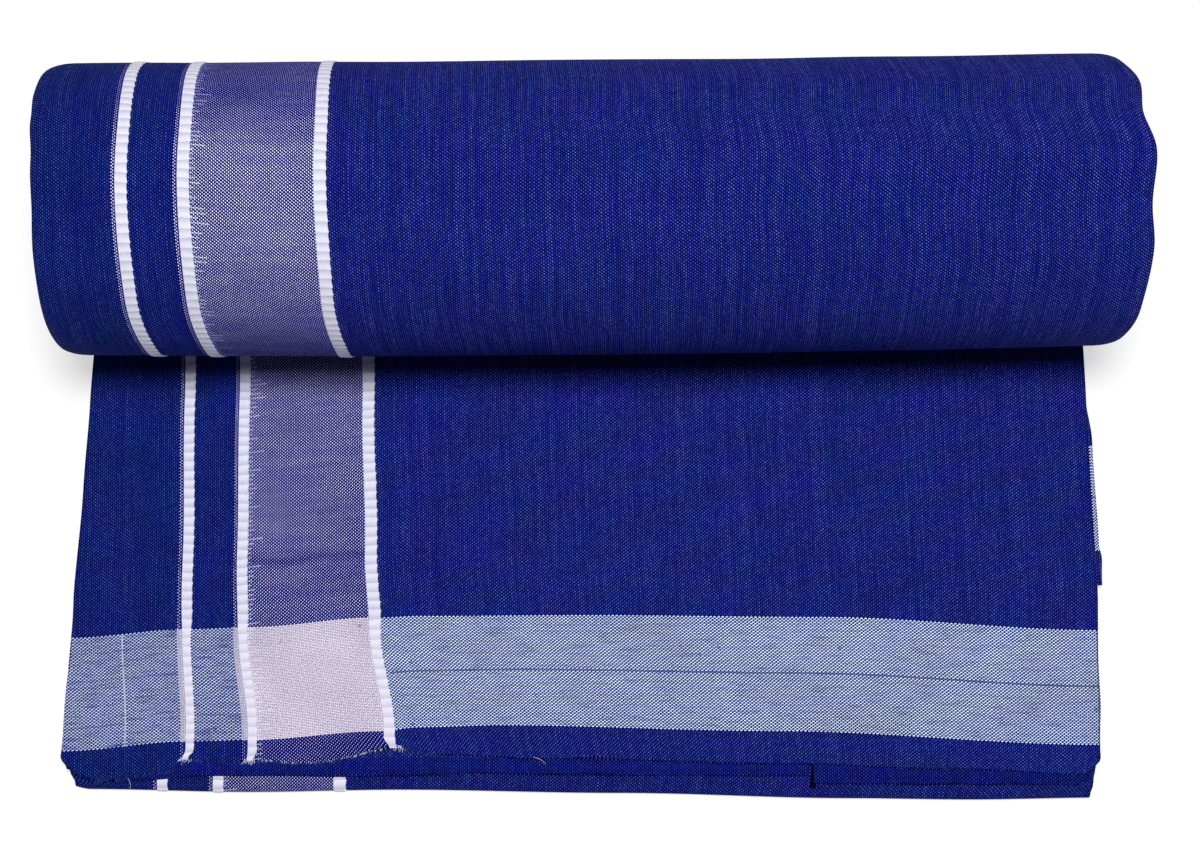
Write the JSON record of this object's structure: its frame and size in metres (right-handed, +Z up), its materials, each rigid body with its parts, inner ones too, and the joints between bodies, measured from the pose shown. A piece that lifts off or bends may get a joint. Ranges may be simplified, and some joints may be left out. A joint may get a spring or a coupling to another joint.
{
  "type": "rolled dhoti cloth",
  "caption": "Blue cotton dhoti with a white corded border, folded into a long pack and rolled, its near end left flat to show the pale end band.",
  "frame": {"origin": "middle of the underside's bounding rectangle, on the surface that the cloth rests on", "axes": "+X along the roll, +Y from the flat end towards the roll, +Z up"},
  "size_m": [0.3304, 0.2241, 0.0895],
  "materials": {
    "blue_cloth": "plain woven cotton, royal blue with paler flecks and white corded border stripes",
    "pale_band": "plain woven cotton, white weft over blue warp",
    "rolled_edges": "folds and selvedges of the same blue cotton seen end on"
  },
  "bodies": {
    "root": {"under_layer": "blue_cloth", "inner_cut_end": "pale_band", "second_layer_left": "blue_cloth", "second_layer_right": "blue_cloth", "top_layer": "blue_cloth", "roll_turns": "rolled_edges", "roll_outer_turn": "blue_cloth"}
  },
  "joints": []
}
